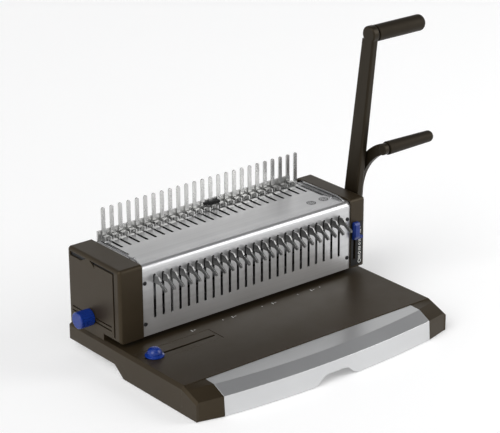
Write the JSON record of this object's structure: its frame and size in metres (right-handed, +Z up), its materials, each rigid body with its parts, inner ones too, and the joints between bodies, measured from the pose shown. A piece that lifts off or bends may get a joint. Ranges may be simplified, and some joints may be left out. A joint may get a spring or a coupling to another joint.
{
  "type": "comb binding machine",
  "caption": "Manual comb binding machine: lever punch head with comb hooks and upright posts on a flat base with a chip drawer, knobs and a second lever.",
  "frame": {"origin": "middle of the whole outline, levers and knob included, at the feet's soles", "axes": "+X to the operator's right, the way the levers' grips point; +Y to the rear; +Z up"},
  "size_m": [0.572, 0.3134, 0.4065],
  "materials": {
    "brown_plastic": "finely textured warm dark brown moulding",
    "lever_paint": "satin dark brown paint",
    "grip_plastic": "soft matte dark brown",
    "blue_plastic": "glossy royal blue",
    "black_plastic": "matte black",
    "silver_plastic": "silver lacquer on plastic",
    "brushed_steel": "brushed sheet",
    "plated_steel": "plain plated steel",
    "hook_steel": "blanked steel with bright sheared edges",
    "blackened_steel": "black oxide",
    "tool_steel": "ground tool steel",
    "screw_steel": "bright plated",
    "bearing_plastic": "natural acetal",
    "foot_rubber": "black rubber"
  },
  "bodies": {
    "frame": {"base_cover": "brown_plastic", "base_floor": "plated_steel", "rubber_feet": "foot_rubber", "front_corner_left": "brown_plastic", "front_corner_right": "brown_plastic", "drawer_rails": "plated_steel", "guide_track": "brown_plastic", "die_plate": "tool_steel", "punch_guide": "blackened_steel", "left_side_plate": "blackened_steel", "right_side_plate": "blackened_steel", "tie_rods": "blackened_steel", "spring_bar": "blackened_steel", "shaft_bushes": "bearing_plastic", "front_panel": "brushed_steel", "panel_screws": "blackened_steel", "top_plate": "brushed_steel", "top_ledges": "brushed_steel", "top_screws": "screw_steel", "post_strip": "plated_steel", "comb_posts": "plated_steel", "back_rail": "plated_steel", "centre_clip": "black_plastic", "rear_cover": "brown_plastic", "left_cover": "brown_plastic", "right_cover": "brown_plastic", "scale_plate": "black_plastic", "guide_rods": "plated_steel", "return_springs": "tool_steel"},
    "drawer": {"drawer_front": "silver_plastic", "drawer_tray": "black_plastic"},
    "edge_guide": {"guide_knob": "blue_plastic", "guide_stem": "tool_steel", "guide_clamp": "black_plastic"},
    "margin_dial": {"margin_knob": "blue_plastic", "margin_shaft": "tool_steel"},
    "depth_stop": {"depth_stop_bar": "plated_steel", "depth_stop_arm": "plated_steel"},
    "size_slider": {"size_slider": "blue_plastic", "slider_retainer": "black_plastic"},
    "punch_lever": {"punch_lever_arm": "lever_paint", "punch_grip_rod": "lever_paint", "punch_grip": "grip_plastic", "punch_shaft": "tool_steel", "punch_cams": "tool_steel"},
    "punch_carriage": {"punch_bar": "tool_steel", "punch_pins": "tool_steel"},
    "comb_lever": {"comb_lever_arm": "lever_paint", "comb_grip_rod": "lever_paint", "comb_grip": "grip_plastic", "comb_shaft": "tool_steel", "lever_washer": "black_plastic", "lever_bolt": "screw_steel", "comb_crank": "plated_steel"},
    "front_hook_rack": {"front_hook_plate": "blackened_steel", "front_hooks": "hook_steel"},
    "top_hook_rack": {"top_hook_bar": "blackened_steel", "top_hooks": "plated_steel"}
  },
  "joints": [
    {"name": "drawer_slide", "type": "slide", "parent": "frame", "child": "drawer", "axis": [0, -1, 0], "range_m": [0, 0.15]},
    {"name": "edge_guide_slide", "type": "slide", "parent": "frame", "child": "edge_guide", "axis": [1, 0, 0], "range_m": [-0.012, 0.096]},
    {"name": "margin_dial_turn", "type": "hinge", "parent": "frame", "child": "margin_dial", "pos_m": [-0.263, 0.104, 0.065], "axis": [1, 0, 0], "range_deg": [-60, 60]},
    {"name": "depth_stop_slide", "type": "slide", "parent": "frame", "child": "depth_stop", "axis": [0, -1, 0], "range_m": [-0.0018, 0.0018]},
    {"name": "size_slider_slide", "type": "slide", "parent": "frame", "child": "size_slider", "axis": [0, 0, 1], "range_m": [-0.034, 0.003]},
    {"name": "punch_lever_swing", "type": "hinge", "parent": "frame", "child": "punch_lever", "pos_m": [-0.045, 0.078, 0.088], "axis": [1, 0, 0], "range_deg": [0, 80], "stiffness_Nm_per_rad": 1.6, "springref_deg": -51.57},
    {"name": "punch_slide", "type": "slide", "parent": "frame", "child": "punch_carriage", "axis": [0, 0, -1], "range_m": [0, 0.0121], "deforming": ["return_springs"]},
    {"name": "comb_lever_swing", "type": "hinge", "parent": "frame", "child": "comb_lever", "pos_m": [-0.045, 0.078, 0.088], "axis": [1, 0, 0], "range_deg": [0, 70]},
    {"name": "front_hooks_slide", "type": "slide", "parent": "frame", "child": "front_hook_rack", "axis": [0, 0, -1], "range_m": [0, 0.0391]},
    {"name": "top_hooks_slide", "type": "slide", "parent": "frame", "child": "top_hook_rack", "axis": [0, -1, 0], "range_m": [0, 0.0251]}
  ],
  "couplings": [
    {"joint": "punch_slide", "follows": "punch_lever_swing", "m_per_rad": 0.0085944},
    {"joint": "front_hooks_slide", "follows": "comb_lever_swing", "m_per_rad": 0.031925},
    {"joint": "top_hooks_slide", "follows": "comb_lever_swing", "m_per_rad": 0.020469},
    {"joint": "depth_stop_slide", "follows": "margin_dial_turn", "m_per_rad": 0.001654}
  ]
}
